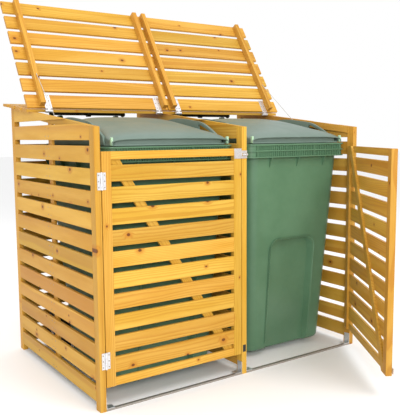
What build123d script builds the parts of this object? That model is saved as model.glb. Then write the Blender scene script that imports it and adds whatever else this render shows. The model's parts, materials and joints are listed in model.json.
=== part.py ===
"""Slatted softwood store with two bays, holding two wheeled refuse bins.

Millimetres. Z is up, X runs along the front and Y runs from the front to the back.
The origin is on the ground, in the middle of the front middle post's foot.
"""

import os
from math import atan, atan2, ceil, cos, degrees, hypot, radians

from build123d import *

# Store: overall sizes and timber sections
bay_width = 634.0
store_depth = 887.0
front_height = 1045.0
roof_rise = 0.117
post_width = 24.0
post_depth = 38.0
board_thickness = 12.0
edge_ease = 1.5

# Wall slats, counted upwards from the ground
wall_slat_width = 60.5
wall_gap = 20.0
wall_start = 31.0
back_top_space = 60.0
rail_depth = 32.0
batten_width = 38.0

# Roof slats, measured along the slope
roof_slat_width = 64.8
roof_gap = 20.4
lid_slat_count = 7
lid_front_overhang = 2.0
lid_end_overhang = 26.0
lid_batten_width = 22.0
lid_batten_depth = 30.0
lid_batten_inset = 5.0
lid_middle_gap = 6.0
lid_wall_clearance = 3.0
hinge_space = 16.0
lid_open_angle = 129.0

# Doors
door_bottom = 90.0
door_top = 957.0
door_gap = 3.0
door_thickness = 24.0
stile_width = 38.0
door_slat_pitch = 78.7
door_slat_gap = 19.5
door_first_slat = 31.0
door_slat_recess = 2.0
brace_width = 38.0
right_door_open = 57.0
stop_reach = 14.0
stop_length = 40.0
low_stop_above = 60.0
high_stop_below = 100.0

# Door hinges and catches
door_hinge_heights = (193.0, 852.0)
door_hinge_length = 62.0
door_leaf_width = 15.0
leaf_thickness = 2.0
door_knuckle_radius = 4.0
door_pin_radius = 2.0
running_gap = 0.05
knuckle_gap = 0.4
pin_spare = 3.0
face_gap = 0.3
seat_gap = 0.05
hasp_height = 932.0
hasp_width = 32.0
hasp_reach = 38.0
hasp_slot_length = 26.0
hasp_slot_width = 12.0
stem_radius = 3.0
turn_length = 22.0
turn_width = 9.0
turn_thickness = 8.0
catch_height = 112.0
catch_width = 16.0
catch_length = 31.0
catch_thickness = 4.0
striker_width = 22.0
striker_reach = 23.0
stem_head_rim = 1.2
stem_head_thickness = 2.0
turn_corner = 4.0

# Lid stays: thin cords that stop the open lids
stay_radius = 1.2
stay_on_lid = 170.0
stay_on_rail = 400.0

# Lid hinges
lid_leaf_width = 30.0
lid_leaf_length = 84.0
fixed_leaf_length = 46.0
lid_leaf_thickness = 1.5
lid_knuckle_radius = 7.0
lid_pin_radius = 3.0
lid_hinge_gap = 3.0
lid_knuckle_space = 2.0
lid_pin_spare = 4.0

# Threshold and foot brackets
threshold_height = 8.0
threshold_depth = 12.0
bracket_height = 46.0
bracket_setback = 1.0
bracket_reach = 34.0
bracket_width = 30.0
bracket_thickness = 2.0

# Bins: each is measured from the front of its rim
bin_front_gap = 8.0
bin_aside = 16.0
rim_width = 590.0
rim_depth = 700.0
rim_height = 59.0
rim_top = 972.0
rim_corner = 46.0
bin_wall = 4.0
neck_width = 534.0
neck_inset = 24.0
foot_width = 452.0
foot_front = 90.0
foot_back = 545.0
foot_height = 26.0
foot_corner = 60.0
bin_lid_width = 536.0
bin_lid_front = 12.0
bin_lid_gap = 2.0
bin_lid_lip = 34.0
bin_lid_peak_depth = 420.0
bin_lid_peak = 1094.0
bin_lid_back = 690.0
bin_lid_tail = 6.0
bin_lid_shell = 4.0
bin_hinge_depth = 722.0
bin_hinge_height = 1000.0
bin_pin_radius = 5.0
bin_eye_radius = 12.0
bin_eye_width = 26.0
lid_eye_play = 1.0
bin_dome_width = 462.0
bin_lid_flange = 6.0
bin_lip_depth = 40.0
grip_thickness = 10.0
grip_depths = (85.0, 140.0, 200.0, 270.0, 340.0, 400.0, 470.0, 560.0, 620.0)
grip_rises = (37.0, 67.0, 92.0, 103.0, 111.0, 115.0, 108.0, 74.0, 32.0)
grip_toe = 15.0
grip_slot_depth = 180.0
grip_slot_rise = 58.5
grip_slot_length = 96.0
grip_slot_width = 24.0
grip_slot_slope = 21.0
handle_depth = 792.0
handle_height = 1118.0
handle_radius = 7.0
handle_ball_radius = 13.0
handle_collar_width = 20.0
handle_length = 372.0
handle_arm_thickness = 16.0
handle_arm_inset = 40.0
handle_arm_reach = 16.0
handle_arm_low = 8.0
handle_arm_high = 14.0
arm_root = 4.0
arm_root_low = 6.0
wheel_radius = 100.0
wheel_width = 48.0
tyre_depth = 22.0
wheel_offset = 226.0
wheel_depth = 692.0
axle_radius = 10.0
axle_bracket_width = 28.0
axle_bracket_gap = 8.0
axle_cap_radius = 16.0
axle_cap_width = 8.0
axle_bracket_root = 30.0
tyre_round = 8.0
hub_inset = 8.0
hub_boss_radius = 24.0
eye_stand_depth = 30.0
lid_arm_height = 20.0
dome_spring = 88.0
neck_play = 1.0

# Worked out from the sizes above
store_width = 2 * bay_width + 3 * post_width
front_y = -post_depth / 2
back_y = front_y + store_depth
inner_front_y = front_y + post_depth
inner_back_y = back_y - post_depth
post_centres = [-(bay_width + post_width), 0.0, bay_width + post_width]
bay_centres = [-(bay_width + post_width) / 2, (bay_width + post_width) / 2]
slope_angle = degrees(atan(roof_rise))
wall_pitch = wall_slat_width + wall_gap
roof_pitch = roof_slat_width + roof_gap
lid_length = lid_slat_count * roof_pitch - roof_gap
lid_axis_along = lid_length - lid_front_overhang + hinge_space
lid_axis_up = board_thickness / 2
door_width = bay_width - 2 * door_gap
bin_y = front_y + door_thickness + bin_front_gap
names = ("left", "right")

os.makedirs("parts", exist_ok=True)


def save(shape, name):
    export_step(shape, f"parts/{name}.step")


def block(x0, x1, y0, y1, z0, z1):
    """Box between three pairs of limits."""
    return Pos((x0 + x1) / 2, (y0 + y1) / 2, (z0 + z1) / 2) * Box(x1 - x0, y1 - y0, z1 - z0)


def board(x0, x1, y0, y1, z0, z1, along):
    """Box with eased long edges."""
    solid = block(x0, x1, y0, y1, z0, z1)
    return fillet(solid.edges().filter_by(along), edge_ease)


def rod(x, y, z, radius, length, axis):
    """Cylinder centred on a point, along one axis."""
    turns = {"X": (0, 90, 0), "Y": (90, 0, 0), "Z": (0, 0, 0)}
    return Pos(x, y, z) * Rot(*turns[axis]) * Cylinder(radius, length)


def roof_height(y):
    """Height of the underside of the roof slats."""
    return front_height + roof_rise * (y - front_y)


def on_roof(shape):
    """Places a shape drawn flat, with Y along the slope from the front and Z off the roof plane."""
    return Pos(0, front_y, front_height) * Rot(slope_angle, 0, 0) * shape


def below_roof(shape):
    """Cuts off what stands above the underside of the roof slats."""
    reach = 2 * store_width
    cutter = on_roof(Pos(0, 0, reach / 2) * Box(reach, reach, reach))
    return shape - cutter


lid_pivot = on_roof(Pos(0, lid_axis_along, lid_axis_up) * Vertex(0, 0, 0)).center()


def opened(shape):
    """Turns a closed lid's piece to the open position."""
    centre = Pos(0, lid_pivot.Y, lid_pivot.Z)
    return centre * Rot(-lid_open_angle, 0, 0) * centre.inverse() * shape


def group(shapes):
    return Compound(children=list(shapes))


# ---- Posts


def post(x, y0):
    low_x = x - post_width / 2
    high_x = x + post_width / 2
    return below_roof(board(low_x, high_x, y0, y0 + post_depth, 0, 1.2 * front_height, Axis.Z))


stem_bore = rod(0, front_y, hasp_height, stem_radius, post_depth, "Y")
catch_pocket = block(
    -catch_width / 2,
    catch_width / 2,
    front_y - 1,
    front_y + catch_thickness,
    catch_height - catch_length / 2,
    catch_height + catch_length / 2,
)
for name, x in zip(("left", "middle", "right"), post_centres):
    front_post = post(x, front_y)
    if name == "middle":
        front_post = front_post - stem_bore - catch_pocket
    save(front_post, f"post_front_{name}")
    save(post(x, inner_back_y), f"post_rear_{name}")

# ---- Side walls and partition: slats, sloping top rail and middle batten


def wall_slats(x0, y0, y1):
    """Stack of slats from the foot to the roof, trimmed along the slope."""
    slats = []
    z = wall_start
    while z < roof_height(y1) - wall_gap:
        slat = board(x0, x0 + board_thickness, y0, y1, z, z + wall_slat_width, Axis.Y)
        slats.append(below_roof(slat))
        z += wall_pitch
    return slats


def inner_face(name, x):
    """Low X limit of the rail and the batten behind the slats."""
    return x - post_width / 2 if name == "right" else x


battens = []
for name, x in zip(("left", "middle", "right"), post_centres):
    rail_x = inner_face(name, x)
    slat_x = x if name == "right" else x - post_width / 2
    save(group(wall_slats(slat_x, inner_front_y, inner_back_y)), f"wall_slats_{name}")
    rail = board(rail_x, rail_x + board_thickness, 0, 1.1 * store_depth, -rail_depth, 0, Axis.Y)
    between = block(-store_width, store_width, inner_front_y, inner_back_y, 0, 2 * front_height)
    save(on_roof(rail) & between, f"top_rail_{name}")
    middle_y = (inner_front_y + inner_back_y) / 2
    batten = board(
        rail_x,
        rail_x + board_thickness,
        middle_y - batten_width / 2,
        middle_y + batten_width / 2,
        wall_start,
        1.2 * front_height,
        Axis.Z,
    )
    lowered = Pos(0, 0, -rail_depth / cos(radians(slope_angle)))
    battens.append(lowered * below_roof(lowered.inverse() * batten))
save(group(battens), "wall_battens")

# ---- Back wall


back_slats = []
for x in bay_centres:
    z = wall_start
    while z + wall_slat_width < roof_height(back_y) - back_top_space:
        back_slats.append(
            board(
                x - bay_width / 2,
                x + bay_width / 2,
                back_y - board_thickness,
                back_y,
                z,
                z + wall_slat_width,
                Axis.X,
            )
        )
        z += wall_pitch
save(group(back_slats), "back_slats")

# ---- Fixed rear roof


roof_end = store_width / 2 + lid_end_overhang
rear_start = lid_axis_along + hinge_space
rear_boards = []
rear_length = store_depth / cos(radians(slope_angle)) - rear_start
for i in range(ceil(rear_length / roof_pitch)):
    start = rear_start + i * roof_pitch
    flat = board(-roof_end, roof_end, start, start + roof_slat_width, 0, board_thickness, Axis.X)
    rear_boards.append(on_roof(flat))
save(group(rear_boards), "rear_roof_boards")

# ---- Roof lids


def lid_limits(side):
    """X limits of one roof lid."""
    if side == "left":
        return -roof_end, -lid_middle_gap / 2
    return lid_middle_gap / 2, roof_end


def batten_places(side):
    """Low X limits of a lid's outer and inner batten."""
    centre = bay_centres[names.index(side)]
    low = centre - bay_width / 2 + lid_wall_clearance
    high = centre + bay_width / 2 - lid_wall_clearance - lid_batten_width
    return low, high


def hinge_places(side):
    """X centres of a lid's two hinges."""
    low, high = batten_places(side)
    aside = lid_hinge_gap + lid_leaf_width / 2
    return low + lid_batten_width + aside, high - aside


def knuckles(x, y, z, radius, bore, length, axis, outer):
    """Two outer knuckles, or the one between them."""
    third = length / 3
    if outer:
        places = (-third, third)
        size = third
    else:
        places = (0.0,)
        size = third - 2 * knuckle_gap
    pieces = []
    for place in places:
        dx, dz = (place, 0) if axis == "X" else (0, place)
        solid = rod(x + dx, y, z + dz, radius, size, axis)
        pieces.append(solid - rod(x + dx, y, z + dz, bore, 2 * size, axis))
    return pieces


def flat_leaf(x, u0, u1, n0, n1, outer):
    """Plate of a lid hinge, split where the other leaf's knuckle turns."""
    third = lid_leaf_width / 3
    if outer:
        spans = ((-1.5 * third, -0.5 * third), (0.5 * third, 1.5 * third))
    else:
        spans = ((-0.5 * third + knuckle_gap, 0.5 * third - knuckle_gap),)
    return [block(x + a, x + b, u0, u1, n0, n1) for a, b in spans]


lid_fixed_leaves = []
lid_pins = []
for side in names:
    low_x, high_x = lid_limits(side)
    slats = []
    for i in range(lid_slat_count):
        start = -lid_front_overhang + i * roof_pitch
        flat = board(low_x, high_x, start, start + roof_slat_width, 0, board_thickness, Axis.X)
        slats.append(opened(on_roof(flat)))
    save(group(slats), f"roof_lid_slats_{side}")
    lid_battens = []
    for x in batten_places(side):
        start = lid_batten_inset - lid_front_overhang
        end = lid_axis_along - hinge_space - lid_batten_inset
        flat = board(x, x + lid_batten_width, start, end, -lid_batten_depth, 0, Axis.Y)
        lid_battens.append(opened(on_roof(flat)))
    save(group(lid_battens), f"roof_lid_battens_{side}")
    lid_leaves = []
    for x in hinge_places(side):
        axis_at = (x, lid_axis_along, lid_axis_up)
        plate_end = lid_axis_along - lid_knuckle_radius - lid_knuckle_space
        turning_bore = lid_pin_radius + running_gap
        plate = block(
            x - lid_leaf_width / 2,
            x + lid_leaf_width / 2,
            lid_axis_along - lid_leaf_length,
            plate_end,
            -lid_leaf_thickness,
            0,
        )
        web = flat_leaf(x, plate_end, lid_axis_along, -lid_leaf_thickness, 0, False)[0]
        web = web - rod(*axis_at, turning_bore, lid_leaf_width, "X")
        eye = knuckles(*axis_at, lid_knuckle_radius, turning_bore, lid_leaf_width, "X", False)[0]
        lid_leaves.append(opened(on_roof(plate + web + eye)))
        fixed = block(
            x - lid_leaf_width / 2,
            x + lid_leaf_width / 2,
            lid_axis_along + hinge_space,
            lid_axis_along + fixed_leaf_length,
            board_thickness,
            board_thickness + lid_leaf_thickness,
        )
        upper = board_thickness + lid_leaf_thickness
        plate_start = lid_axis_along + hinge_space
        for piece in flat_leaf(x, lid_axis_along, plate_start, board_thickness, upper, True):
            fixed = fixed + piece
        for eye in knuckles(*axis_at, lid_knuckle_radius, lid_pin_radius, lid_leaf_width, "X", True):
            fixed = fixed + eye
        lid_fixed_leaves.append(on_roof(fixed))
        lid_pins.append(on_roof(rod(*axis_at, lid_pin_radius, lid_leaf_width + lid_pin_spare, "X")))
    save(group(lid_leaves), f"roof_lid_hinge_leaves_{side}")
save(group(lid_fixed_leaves), "rear_roof_hinge_leaves")

# ---- Lid stays, from each lid's outer batten to the top rail beside it

for side, way in zip(names, (-1, 1)):
    low, high = batten_places(side)
    outer = low if side == "left" else high
    along = lid_axis_along - stay_on_lid
    on_batten = Pos(outer + lid_batten_width / 2, along, -lid_batten_depth - stay_radius)
    start = opened(on_roof(on_batten * Vertex(0, 0, 0))).center()
    rail_face = way * (bay_width + post_width / 2)
    end_y = front_y + stay_on_rail
    end = Vector(rail_face, end_y, roof_height(end_y) - rail_depth / 2)
    run = end - start
    path = Plane(origin=start, z_dir=run.normalized())
    stay = extrude(path * Circle(stay_radius), run.length)
    beside = block(*sorted((rail_face, 0)), -store_depth, 2 * store_depth, 0, 3 * front_height)
    save(stay & beside, f"lid_stay_{side}")

# ---- Threshold strips and foot brackets


thresholds = []
brackets = []
for x in bay_centres:
    low_x = x - bay_width / 2
    high_x = x + bay_width / 2
    thresholds.append(block(low_x, high_x, front_y, front_y + threshold_depth, 0, threshold_height))
    for face, way in ((low_x, 1), (high_x, -1)):
        ends = sorted((face, face + way * bracket_thickness))
        foot = sorted((face, face + way * bracket_reach))
        y0 = front_y + bracket_setback
        y1 = y0 + bracket_width
        upright = block(*ends, y0, y1, threshold_height, threshold_height + bracket_height)
        flat = block(*foot, y0, y1, threshold_height, threshold_height + bracket_thickness)
        brackets.append(upright + flat)
save(group(thresholds), "threshold_strips")
save(group(brackets), "foot_brackets")

# ---- Door stops: blocks on the posts that a closed door meets


stops = []
for way in (-1, 1):
    face = way * post_width / 2
    reach = sorted((face, face + way * (door_gap + stop_reach)))
    for z in (door_bottom + low_stop_above, door_top - high_stop_below):
        stop_front = front_y + door_thickness + face_gap
        stops.append(block(*reach, stop_front, inner_front_y, z, z + stop_length))
save(group(stops), "door_stops")

# ---- Doors, drawn closed


def door_edges(side):
    """X limits of a closed door."""
    centre = bay_centres[names.index(side)]
    return centre - door_width / 2, centre + door_width / 2


def door_pin(side):
    """X and Y of a door's hinge pins."""
    low_x, high_x = door_edges(side)
    x = low_x - door_gap / 2 if side == "left" else high_x + door_gap / 2
    return x, front_y - door_knuckle_radius


def swung(side, shape):
    """Turns the right door to where it rests, part way open."""
    if side == "left":
        return shape
    x, y = door_pin(side)
    centre = Pos(x, y, 0)
    return centre * Rot(0, 0, right_door_open) * centre.inverse() * shape


def door_slats(side):
    low_x, high_x = door_edges(side)
    slats = []
    z = door_bottom
    top = door_bottom + door_first_slat
    y0 = front_y + door_slat_recess
    while z < door_top - door_slat_gap:
        top = min(top, door_top)
        slats.append(
            board(low_x + stile_width, high_x - stile_width, y0, y0 + board_thickness, z, top, Axis.X)
        )
        z = top + door_slat_gap
        top = z + door_slat_pitch - door_slat_gap
    return slats


def door_brace(side):
    """Diagonal behind the slats, from the top at the hinge to the foot at the free edge."""
    low_x, high_x = door_edges(side)
    x0 = low_x + stile_width
    x1 = high_x - stile_width
    y0 = front_y + door_slat_recess + board_thickness
    y1 = front_y + door_thickness
    across = x1 - x0
    up = door_top - door_bottom
    lean = degrees(atan2(up, across))
    if side == "left":
        lean = -lean
    bar = Box(2 * hypot(across, up), y1 - y0, brace_width)
    bar = Pos((x0 + x1) / 2, (y0 + y1) / 2, (door_top + door_bottom) / 2) * Rot(0, -lean, 0) * bar
    return bar & block(x0, x1, y0, y1, door_bottom, door_top)


def door_leaf(side, z, outer):
    """One leaf of a door hinge with its knuckles: the outer pair is on the post."""
    x, y = door_pin(side)
    to_door = 1 if side == "left" else -1
    way = -to_door if outer else to_door
    bore = door_pin_radius if outer else door_pin_radius + running_gap
    solids = knuckles(x, y, z, door_knuckle_radius, bore, door_hinge_length, "Z", outer)
    near = x + way * (door_knuckle_radius + knuckle_gap)
    far = x + way * (door_gap / 2 + door_leaf_width)
    back = front_y - seat_gap
    front = back - leaf_thickness
    low_z = z - door_hinge_length / 2
    plate = block(*sorted((near, far)), front, back, low_z, low_z + door_hinge_length)
    third = door_hinge_length / 3
    spans = [(-0.5 * third + knuckle_gap, 0.5 * third - knuckle_gap)]
    if outer:
        spans = [(-1.5 * third, -0.5 * third), (0.5 * third, 1.5 * third)]
    for a, b in spans:
        web = block(*sorted((x, near)), front, back, z + a, z + b)
        plate = plate + (web - rod(x, y, z, bore, 2 * door_hinge_length, "Z"))
    for eye in solids:
        plate = plate + eye
    return plate


post_leaves = []
door_pins = []
for side in names:
    low_x, high_x = door_edges(side)
    back = front_y + door_thickness
    low_stile = board(low_x, low_x + stile_width, front_y, back, door_bottom, door_top, Axis.Z)
    high_stile = board(high_x - stile_width, high_x, front_y, back, door_bottom, door_top, Axis.Z)
    hinge_stile, free_stile = (low_stile, high_stile) if side == "left" else (high_stile, low_stile)
    save(swung(side, hinge_stile), f"door_hinge_stile_{side}")
    save(swung(side, free_stile), f"door_free_stile_{side}")
    save(swung(side, group(door_slats(side))), f"door_slats_{side}")
    save(swung(side, door_brace(side)), f"door_brace_{side}")
    leaves = group(door_leaf(side, z, False) for z in door_hinge_heights)
    save(swung(side, leaves), f"door_hinge_leaves_{side}")
    post_leaves += [door_leaf(side, z, True) for z in door_hinge_heights]
    x, y = door_pin(side)
    pin_length = door_hinge_length + pin_spare
    door_pins += [rod(x, y, z, door_pin_radius, pin_length, "Z") for z in door_hinge_heights]
save(group(post_leaves), "post_hinge_leaves")
save(group(door_pins + lid_pins), "hinge_pins")

# ---- Catches on the middle post


hasp_back = front_y - face_gap
free_edge = door_edges("left")[1]
hasp = block(
    free_edge - hasp_reach,
    post_width / 2,
    hasp_back - leaf_thickness,
    hasp_back,
    hasp_height - hasp_width / 2,
    hasp_height + hasp_width / 2,
)
hasp_pad = block(
    free_edge - hasp_reach,
    free_edge,
    hasp_back,
    front_y,
    hasp_height - hasp_width / 2,
    door_top,
)
slot = block(
    -hasp_slot_length / 2,
    hasp_slot_length / 2,
    hasp_back - 2 * leaf_thickness,
    hasp_back + leaf_thickness,
    hasp_height - hasp_slot_width / 2,
    hasp_height + hasp_slot_width / 2,
)
save((hasp - slot) + hasp_pad, "hasp_plate")
turn_back = hasp_back - leaf_thickness - face_gap
turn_front = turn_back - turn_thickness
stem_length = front_y + post_depth / 2 - turn_front + face_gap
stem = rod(0, front_y + post_depth / 2 - stem_length / 2, hasp_height, stem_radius, stem_length, "Y")
head_y = turn_front - face_gap - stem_head_thickness / 2
stem_cap = rod(0, head_y, hasp_height, stem_radius + stem_head_rim, stem_head_thickness, "Y")
save(stem + stem_cap, "latch_stem")
turn = Pos(0, (turn_front + turn_back) / 2, hasp_height) * Box(turn_length, turn_thickness, turn_width)
turn = fillet(turn.edges().filter_by(Axis.Y), turn_corner)
turn_bore = rod(0, front_y, hasp_height, stem_radius + running_gap, 2 * store_depth, "Y")
save(turn - turn_bore, "latch_turn")
magnet = block(
    -catch_width / 2,
    catch_width / 2,
    front_y,
    front_y + catch_thickness,
    catch_height - catch_length / 2,
    catch_height + catch_length / 2,
)
save(magnet, "catch_magnet")
striker_edge = door_edges("right")[0]
striker_end = striker_edge + striker_reach
striker_low = catch_height - striker_width / 2
striker_high = catch_height + striker_width / 2
striker = block(0, striker_end, hasp_back - leaf_thickness, hasp_back, striker_low, striker_high)
striker_pad = block(striker_edge, striker_end, hasp_back, front_y, striker_low, striker_high)
save(swung("right", striker + striker_pad), "catch_striker")

# ---- Bins


def bin_section(width, front, back, z, corner):
    """Rounded rectangle at one height of a bin."""
    depth = back - front
    return Pos(0, front + depth / 2, z) * RectangleRounded(width, depth, corner)


def bin_shell(inset):
    """Tapered tub, drawn inset by a wall."""
    neck_z = rim_top - rim_height
    low_z = foot_height + inset
    low_corner = foot_corner - inset
    foot = bin_section(foot_width - 2 * inset, foot_front + inset, foot_back - inset, low_z, low_corner)
    back = rim_depth - neck_inset
    neck = bin_section(neck_width - 2 * inset, neck_inset + inset, back - inset, neck_z, rim_corner - inset)
    return loft([foot.face(), neck.face()])


def bin_tub():
    neck_z = rim_top - rim_height
    rim = extrude(bin_section(rim_width, 0, rim_depth, neck_z, rim_corner), rim_height)
    back = rim_depth - neck_inset
    mouth_width = neck_width - 2 * bin_wall
    mouth = bin_section(mouth_width, neck_inset + bin_wall, back - bin_wall, neck_z, rim_corner)
    tub = bin_shell(0) + (rim - extrude(mouth, rim_height))
    for way in (-1, 1):
        x = way * (handle_length / 2 - handle_arm_inset)
        outline = Polyline(
            (rim_depth - arm_root, neck_z + arm_root_low),
            (handle_depth + handle_arm_reach, handle_height - handle_arm_low),
            (handle_depth + handle_arm_reach, handle_height + handle_arm_high),
            (handle_depth - handle_arm_reach, handle_height + handle_arm_high),
            (rim_depth - arm_root, rim_top - arm_root),
            close=True,
        )
        arm = extrude(Plane.YZ * make_face(outline), handle_arm_thickness)
        arm = Pos(x - handle_arm_thickness / 2, 0, 0) * arm
        tub = tub + (arm - rod(x, handle_depth, handle_height, handle_radius, handle_length, "X"))
        eye_x = way * (bin_dome_width / 2 - 1.5 * bin_eye_width - 2 * knuckle_gap)
        eye = rod(eye_x, bin_hinge_depth, bin_hinge_height, bin_eye_radius, bin_eye_width, "X")
        stand = block(
            eye_x - bin_eye_width / 2,
            eye_x + bin_eye_width / 2,
            rim_depth - arm_root,
            bin_hinge_depth + bin_eye_radius,
            rim_top - eye_stand_depth,
            bin_hinge_height,
        )
        bore = rod(eye_x, bin_hinge_depth, bin_hinge_height, bin_pin_radius, 4 * bin_eye_width, "X")
        tub = tub + (eye + stand - bore)
    half_bracket = axle_bracket_width / 2
    for way in (-1, 1):
        x = way * (wheel_offset - wheel_width / 2 - axle_bracket_gap - half_bracket)
        low_z = wheel_radius - 2 * axle_radius
        high_z = wheel_radius + 3 * axle_radius
        back = wheel_depth + 2 * axle_radius
        root = foot_back - axle_bracket_root
        bracket = block(x - half_bracket, x + half_bracket, root, back, low_z, high_z)
        tub = tub + (bracket - rod(x, wheel_depth, wheel_radius, axle_radius, rim_width, "X"))
    return tub - bin_shell(bin_wall)


def lid_outline(inset):
    """Side view of the bin lid, inset by its shell."""
    foot = rim_top + bin_lid_gap
    front = bin_lid_front + inset
    back = bin_lid_back - inset
    lip = foot + bin_lid_lip - inset
    tail = bin_hinge_height + bin_lid_tail
    rise = Spline(
        (front, lip),
        (bin_lid_peak_depth / 2, foot + dome_spring - inset),
        (bin_lid_peak_depth, bin_lid_peak - inset),
        (back, tail - inset),
        tangents=((0.45, 1), (0.55, -1)),
    )
    base = foot if inset == 0 else foot - neck_play
    sides = Polyline((back, tail - inset), (back, base), (front, base), (front, lip))
    return Plane.YZ * make_face(Curve() + rise + sides)


def grip(x):
    """Long ear along one side of the bin lid, with a slot for the fingers near its front."""
    foot = rim_top + bin_lid_gap
    points = [(depth, foot + rise) for depth, rise in zip(grip_depths, grip_rises)]
    ridge = Spline(*points)
    toe = (points[0][0] - grip_toe, foot)
    heel = (points[-1][0] + grip_toe, foot)
    base = Polyline(points[-1], heel, toe, points[0])
    wing = extrude(Plane.YZ * make_face(Curve() + ridge + base), grip_thickness)
    slot = SlotOverall(grip_slot_length, grip_slot_width, grip_slot_slope)
    centre = Pos(grip_slot_depth, foot + grip_slot_rise)
    cut = extrude(Plane.YZ * centre * slot, 3 * grip_thickness, both=True)
    return Pos(x - grip_thickness / 2, 0, 0) * (wing - cut)


def bin_lid():
    foot = rim_top + bin_lid_gap
    half = bin_lid_width / 2
    shell = Pos(-bin_dome_width / 2, 0, 0) * extrude(lid_outline(0), bin_dome_width)
    hollow_width = bin_dome_width - 2 * bin_lid_shell
    hollow = Pos(-hollow_width / 2, 0, 0) * extrude(lid_outline(bin_lid_shell), hollow_width)
    flange = block(-half, half, bin_lid_front, bin_lid_back, foot, foot + bin_lid_flange)
    lip_end = bin_lid_front + bin_lip_depth
    lip = block(-half, half, bin_lid_front, lip_end, foot, foot + bin_lid_lip)
    lid = shell + flange + lip - hollow
    eye_width = bin_eye_width - 2 * lid_eye_play
    for way in (-1, 1):
        lid = lid + grip(way * (half - grip_thickness / 2))
        eye_x = way * (bin_dome_width - bin_eye_width) / 2
        arm = block(
            eye_x - eye_width / 2,
            eye_x + eye_width / 2,
            bin_lid_back - bin_lid_shell,
            bin_hinge_depth,
            bin_hinge_height - lid_arm_height / 2,
            bin_hinge_height + lid_arm_height / 2,
        )
        eye = rod(eye_x, bin_hinge_depth, bin_hinge_height, bin_eye_radius, eye_width, "X")
        bore = rod(eye_x, bin_hinge_depth, bin_hinge_height, bin_pin_radius + running_gap, rim_width, "X")
        lid = lid + (arm + eye - bore)
    return lid


def handle_bar():
    """Bar with a ball at each end and a collar in the middle, turned about its own length."""
    half = handle_length / 2
    meet = half - (handle_ball_radius**2 - handle_radius**2) ** 0.5
    collar = handle_collar_width / 2
    profile = Polyline(
        (-meet, 0, handle_radius),
        (-collar, 0, handle_radius),
        (-collar, 0, handle_ball_radius),
        (collar, 0, handle_ball_radius),
        (collar, 0, handle_radius),
        (meet, 0, handle_radius),
    )
    tip = half + handle_ball_radius
    right_ball = ThreePointArc((meet, 0, handle_radius), (half, 0, handle_ball_radius), (tip, 0, 0))
    left_ball = ThreePointArc((-meet, 0, handle_radius), (-half, 0, handle_ball_radius), (-tip, 0, 0))
    middle = Line((-tip, 0, 0), (tip, 0, 0))
    bar = revolve(make_face(Curve() + profile + right_ball + left_ball + middle), Axis.X)
    return Pos(0, handle_depth, handle_height) * bar


def tyre():
    ring = Cylinder(wheel_radius, wheel_width) - Cylinder(wheel_radius - tyre_depth, 2 * wheel_width)
    shoulders = ring.edges().sort_by(SortBy.LENGTH)[-2:]
    return fillet(shoulders, tyre_round)


def hub():
    disc = Cylinder(wheel_radius - tyre_depth, wheel_width - 2 * hub_inset)
    boss = Cylinder(hub_boss_radius, wheel_width)
    return disc + boss - Cylinder(axle_radius + running_gap, 3 * wheel_width)


tub_shape = bin_tub()
lid_shape = bin_lid()
tyre_shape = Rot(0, 90, 0) * tyre()
hub_shape = Rot(0, 90, 0) * hub()
pins = []
axles = []
bars = []
for side, x in zip(names, bay_centres):
    place = Pos(x + bin_aside, bin_y, 0)
    save(place * tub_shape, f"bin_tub_{side}")
    save(place * lid_shape, f"bin_lid_{side}")
    ends = ("outer", "inner") if side == "left" else ("inner", "outer")
    for way, end in zip((-1, 1), ends):
        at_wheel = place * Pos(way * wheel_offset, wheel_depth, wheel_radius)
        save(at_wheel * tyre_shape, f"tyre_{side}_{end}")
        save(at_wheel * hub_shape, f"wheel_hub_{side}_{end}")
        eye_x = way * (bin_dome_width / 2 - bin_eye_width)
        pins.append(
            place * rod(eye_x, bin_hinge_depth, bin_hinge_height, bin_pin_radius, 2 * bin_eye_width, "X")
        )
    axle_length = 2 * wheel_offset + wheel_width + 2 * knuckle_gap
    axle = rod(0, wheel_depth, wheel_radius, axle_radius, axle_length, "X")
    for way in (-1, 1):
        cap_x = way * (axle_length / 2 + axle_cap_width / 2)
        axle = axle + rod(cap_x, wheel_depth, wheel_radius, axle_cap_radius, axle_cap_width, "X")
    axles.append(place * axle)
    bars.append(place * handle_bar())
save(group(pins), "bin_hinge_pins")
save(group(axles), "wheel_axles")
save(group(bars), "bin_handle_bars")
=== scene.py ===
import json
import math

import bpy
from mathutils import Matrix, Vector


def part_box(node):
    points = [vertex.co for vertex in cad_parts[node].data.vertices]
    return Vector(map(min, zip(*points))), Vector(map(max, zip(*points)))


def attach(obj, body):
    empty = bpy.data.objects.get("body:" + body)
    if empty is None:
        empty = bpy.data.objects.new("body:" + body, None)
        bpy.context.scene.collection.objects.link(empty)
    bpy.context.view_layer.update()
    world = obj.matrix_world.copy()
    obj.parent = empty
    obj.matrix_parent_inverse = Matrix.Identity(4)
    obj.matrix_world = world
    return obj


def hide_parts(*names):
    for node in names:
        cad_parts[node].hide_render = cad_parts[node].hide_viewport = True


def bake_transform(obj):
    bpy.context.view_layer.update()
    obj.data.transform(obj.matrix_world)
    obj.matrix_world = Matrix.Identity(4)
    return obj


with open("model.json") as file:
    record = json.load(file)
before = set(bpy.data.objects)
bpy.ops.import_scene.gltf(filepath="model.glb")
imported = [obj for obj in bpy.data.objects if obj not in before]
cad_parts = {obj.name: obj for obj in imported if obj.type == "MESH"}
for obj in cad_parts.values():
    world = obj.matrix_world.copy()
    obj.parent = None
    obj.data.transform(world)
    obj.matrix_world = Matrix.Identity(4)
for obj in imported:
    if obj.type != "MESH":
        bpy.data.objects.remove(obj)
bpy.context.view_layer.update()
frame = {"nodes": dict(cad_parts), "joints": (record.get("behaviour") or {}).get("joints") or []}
nodes = frame["nodes"]
bpy.ops.object.select_all(action="DESELECT")
print("frame loaded")

# the pins that the right door and the roof lids turn about
joints = {joint["name"]: joint for joint in frame["joints"]}
doorPin = Vector(joints["door_right_swing"]["pos_m"])
lidPin = Vector(joints["roof_lid_left_lift"]["pos_m"])

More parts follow.
